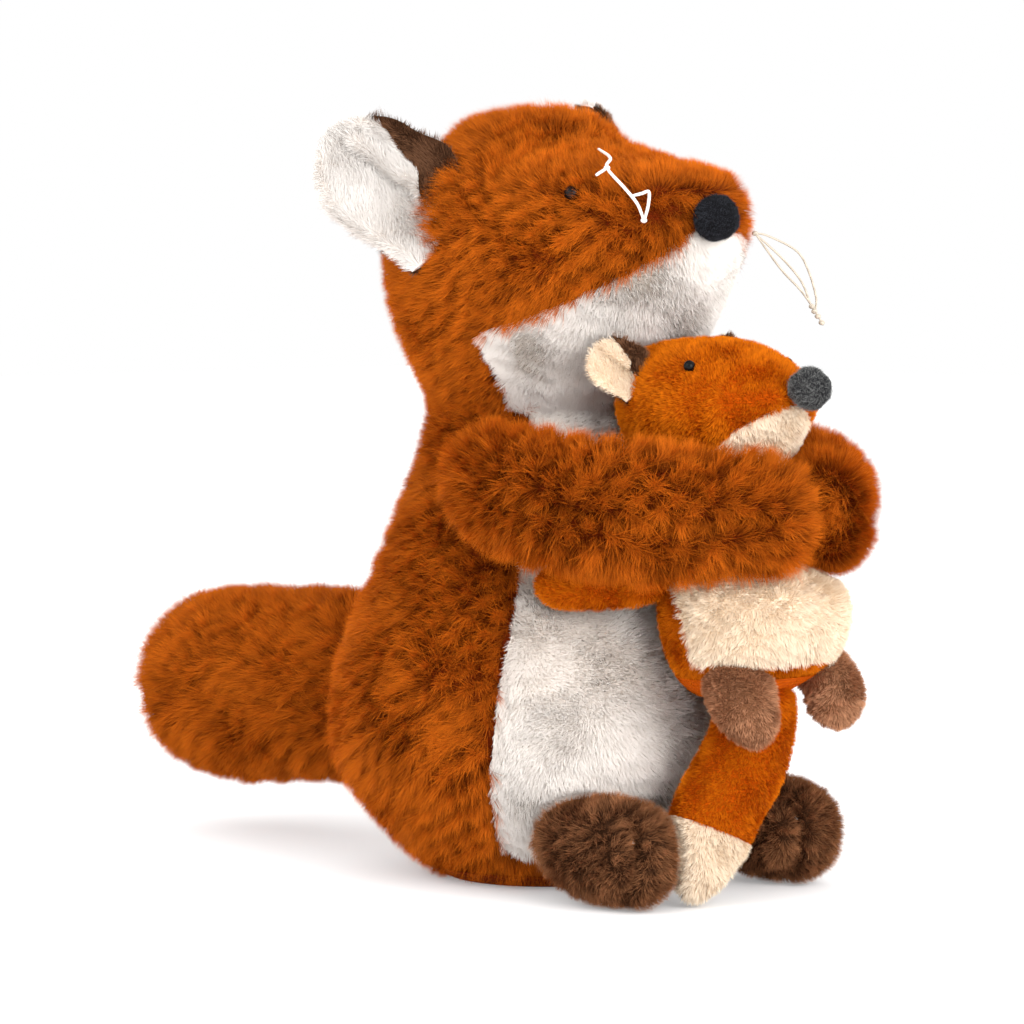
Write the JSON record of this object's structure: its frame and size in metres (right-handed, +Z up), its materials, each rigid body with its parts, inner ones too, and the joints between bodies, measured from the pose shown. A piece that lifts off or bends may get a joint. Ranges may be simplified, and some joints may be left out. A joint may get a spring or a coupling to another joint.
{
  "type": "plush fox",
  "caption": "Seated plush fox with a long muzzle, upright ears and a thick tail, its arms closed round a small plush cub.",
  "frame": {"origin": "middle of the flat seat that the toy sits on", "axes": "+Z up; the fox faces -Y; its own right side is -X"},
  "size_m": [0.1262, 0.2767, 0.2248],
  "materials": {
    "rust_plush": "long soft pile, rust",
    "white_plush": "dense soft pile, off-white",
    "brown_plush": "short soft pile, dark brown",
    "orange_minky": "very short pile, orange",
    "cream_minky": "short curly pile, cream",
    "tan_minky": "very short pile, tan",
    "black_felt": "needle felt, black",
    "grey_felt": "needle felt, charcoal",
    "eye_bead": "polished, black",
    "thread": "waxed thread, white",
    "wadding": "polyester fibre",
    "bean_bag": "cloth bag of plastic pellets"
  },
  "bodies": {
    "torso": {"seat_panel": "rust_plush", "torso_cover": "rust_plush", "belly_panel": "white_plush", "bean_bag": "bean_bag", "torso_wadding": "wadding", "cub_body_cover": "orange_minky", "cub_belly_panel": "cream_minky", "cub_body_wadding": "wadding", "cub_arm_right": "orange_minky", "cub_arm_left": "orange_minky"},
    "head": {"head_cover": "rust_plush", "chin_panel": "white_plush", "head_wadding": "wadding", "nose": "black_felt", "eye_right": "eye_bead", "eye_left": "eye_bead", "whisker_right": "thread", "whisker_left": "thread"},
    "ear_right": {"ear_right_front": "white_plush", "ear_right_back": "brown_plush"},
    "ear_left": {"ear_left_front": "white_plush", "ear_left_back": "brown_plush"},
    "arm_right": {"arm_right_cover": "rust_plush", "arm_right_wadding": "wadding"},
    "arm_left": {"arm_left_cover": "rust_plush", "arm_left_wadding": "wadding"},
    "foot_right": {"foot_right_cover": "brown_plush", "foot_right_wadding": "wadding"},
    "foot_left": {"foot_left_cover": "brown_plush", "foot_left_wadding": "wadding"},
    "tail": {"tail_cover": "rust_plush", "tail_wadding": "wadding"},
    "cub_head": {"cub_head_cover": "orange_minky", "cub_chin_panel": "cream_minky", "cub_head_wadding": "wadding", "cub_nose": "grey_felt", "cub_eye_right": "eye_bead", "cub_eye_left": "eye_bead"},
    "cub_ear_right": {"cub_ear_right_front": "cream_minky", "cub_ear_right_back": "tan_minky"},
    "cub_ear_left": {"cub_ear_left_front": "cream_minky", "cub_ear_left_back": "tan_minky"},
    "cub_leg_right": {"cub_leg_right": "tan_minky"},
    "cub_leg_left": {"cub_leg_left": "tan_minky"},
    "cub_tail": {"cub_tail_cover": "orange_minky", "cub_tail_tip": "cream_minky", "cub_tail_wadding": "wadding"}
  },
  "joints": [
    {"name": "head_nod", "type": "hinge", "parent": "torso", "child": "head", "pos_m": [0, 0.0344, 0.1376], "axis": [-1, 0, 0], "range_deg": [0, 20], "stiffness_Nm_per_rad": 1},
    {"name": "ear_right_fold", "type": "hinge", "parent": "head", "child": "ear_right", "pos_m": [-0.0432, 0.0026, 0.1863], "axis": [0.5355, -0.4719, 0.7004], "range_deg": [0, 30], "stiffness_Nm_per_rad": 0.05},
    {"name": "ear_left_fold", "type": "hinge", "parent": "head", "child": "ear_left", "pos_m": [0.0432, 0.0026, 0.1863], "axis": [0.5355, 0.4719, -0.7004], "range_deg": [0, 30], "stiffness_Nm_per_rad": 0.05},
    {"name": "arm_right_open", "type": "hinge", "parent": "torso", "child": "arm_right", "pos_m": [-0.041, 0.003, 0.114], "axis": [0, 0, -1], "range_deg": [0, 60], "stiffness_Nm_per_rad": 0.3},
    {"name": "arm_left_open", "type": "hinge", "parent": "torso", "child": "arm_left", "pos_m": [0.041, 0.003, 0.114], "axis": [0, 0, 1], "range_deg": [0, 60], "stiffness_Nm_per_rad": 0.3},
    {"name": "foot_right_splay", "type": "hinge", "parent": "torso", "child": "foot_right", "pos_m": [-0.049, -0.048, 0.015], "axis": [0, 0, -1], "range_deg": [0, 25], "stiffness_Nm_per_rad": 0.2},
    {"name": "foot_left_splay", "type": "hinge", "parent": "torso", "child": "foot_left", "pos_m": [0.049, -0.048, 0.015], "axis": [0, 0, 1], "range_deg": [0, 25], "stiffness_Nm_per_rad": 0.2},
    {"name": "tail_lift", "type": "hinge", "parent": "torso", "child": "tail", "pos_m": [0, 0.061, 0.074], "axis": [1, 0, 0], "range_deg": [0, 25], "stiffness_Nm_per_rad": 0.4},
    {"name": "cub_head_nod", "type": "hinge", "parent": "torso", "child": "cub_head", "pos_m": [0, -0.08, 0.109], "axis": [1, 0, 0], "range_deg": [0, 6], "stiffness_Nm_per_rad": 0.2},
    {"name": "cub_ear_right_fold", "type": "hinge", "parent": "cub_head", "child": "cub_ear_right", "pos_m": [-0.023, -0.058, 0.145], "axis": [0.5355, -0.4719, 0.7004], "range_deg": [0, 30], "stiffness_Nm_per_rad": 0.01},
    {"name": "cub_ear_left_fold", "type": "hinge", "parent": "cub_head", "child": "cub_ear_left", "pos_m": [0.023, -0.058, 0.145], "axis": [0.5355, 0.4719, -0.7004], "range_deg": [0, 30], "stiffness_Nm_per_rad": 0.01},
    {"name": "cub_leg_right_lift", "type": "hinge", "parent": "torso", "child": "cub_leg_right", "pos_m": [-0.02, -0.099, 0.07], "axis": [-1, 0, 0], "range_deg": [0, 20], "stiffness_Nm_per_rad": 0.05},
    {"name": "cub_leg_left_lift", "type": "hinge", "parent": "torso", "child": "cub_leg_left", "pos_m": [0.02, -0.099, 0.074], "axis": [-1, 0, 0], "range_deg": [0, 20], "stiffness_Nm_per_rad": 0.05},
    {"name": "cub_tail_lift", "type": "hinge", "parent": "torso", "child": "cub_tail", "pos_m": [0, -0.093, 0.06], "axis": [-1, 0, 0], "range_deg": [0, 20], "stiffness_Nm_per_rad": 0.05}
  ]
}
